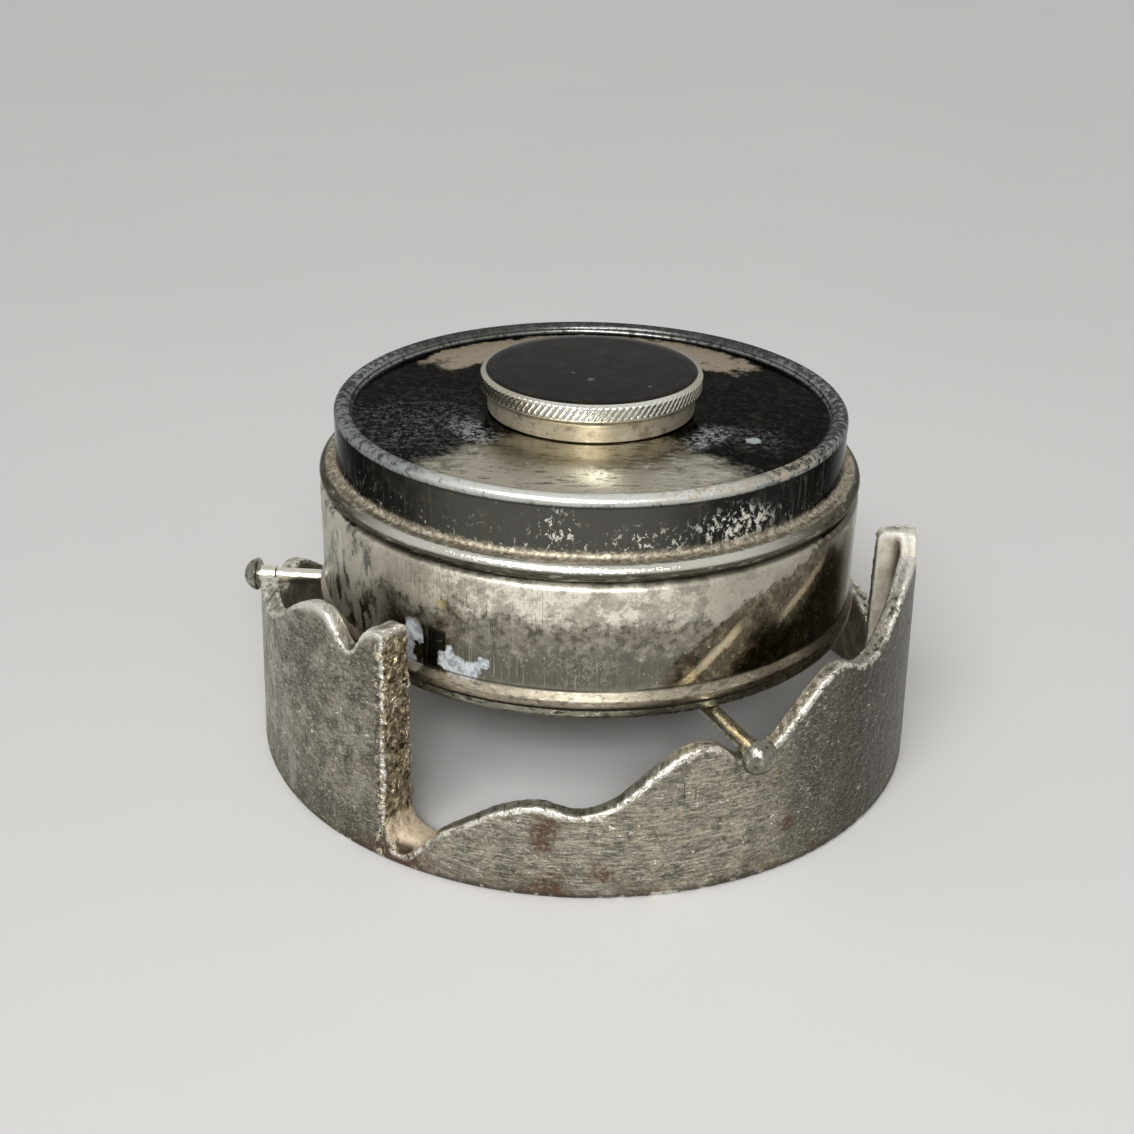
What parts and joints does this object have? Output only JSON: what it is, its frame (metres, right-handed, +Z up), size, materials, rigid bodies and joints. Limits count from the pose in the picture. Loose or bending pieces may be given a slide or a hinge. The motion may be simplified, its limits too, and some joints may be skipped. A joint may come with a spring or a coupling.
{
  "type": "pocket spirit stove",
  "caption": "Small round spirit stove: a nickel-plated drum burner with lid and screw cap on pins, set in a stepped cast ring stand for heights.",
  "frame": {"origin": "centre of the cast ring's foot, on the table", "axes": "+Z up along the burner's axis; the pictured front faces -Y"},
  "size_m": [0.0849, 0.082, 0.0467],
  "materials": {
    "cast_plated": "cast, nickel-plated and worn, sand-grain pitting",
    "plated_sheet": "nickel-plated sheet, fine upright scratches",
    "plated_mirror": "polished nickel with corrosion specks",
    "plated_knurl": "polished nickel, worn, with a knurled band",
    "pin_metal": "bright drawn wire with an upset head",
    "solder": "dull soft solder",
    "wool": "mineral wool, scorched at the top",
    "gauze": "woven brass wire, heat-browned",
    "neck_brass": "turned brass, dulled",
    "liner": "pressed cork and rubber washer"
  },
  "bodies": {
    "stand": {"stand_ring": "cast_plated"},
    "burner": {"base_pan": "plated_sheet", "cup_shell": "plated_sheet", "collar_ring": "plated_sheet", "pin_front": "pin_metal", "pin_back": "pin_metal", "pin_left": "pin_metal", "pin_solder": "solder", "wick_packing": "wool", "gauze_disc": "gauze", "gauze_ring": "gauze"},
    "lid": {"lid_shell": "plated_mirror", "lid_neck": "neck_brass"},
    "liner": {"cap_liner": "liner"},
    "cap": {"screw_cap": "plated_knurl"}
  },
  "joints": [
    {"name": "burner_lift", "type": "slide", "parent": "stand", "child": "burner", "axis": [0, 0, 1], "range_m": [0, 0.02]},
    {"name": "lid_lift", "type": "slide", "parent": "burner", "child": "lid", "axis": [0, 0, 1], "range_m": [0, 0.014]},
    {"name": "cap_rise", "type": "slide", "parent": "lid", "child": "liner", "axis": [0, 0, 1], "range_m": [0, 0.0061]},
    {"name": "cap_turn", "type": "hinge", "parent": "liner", "child": "cap", "pos_m": [0, 0, 0.044], "axis": [0, 0, 1], "range_deg": [0, 1728]}
  ],
  "couplings": [
    {"joint": "cap_rise", "follows": "cap_turn", "m_per_rad": 0.00019894}
  ]
}
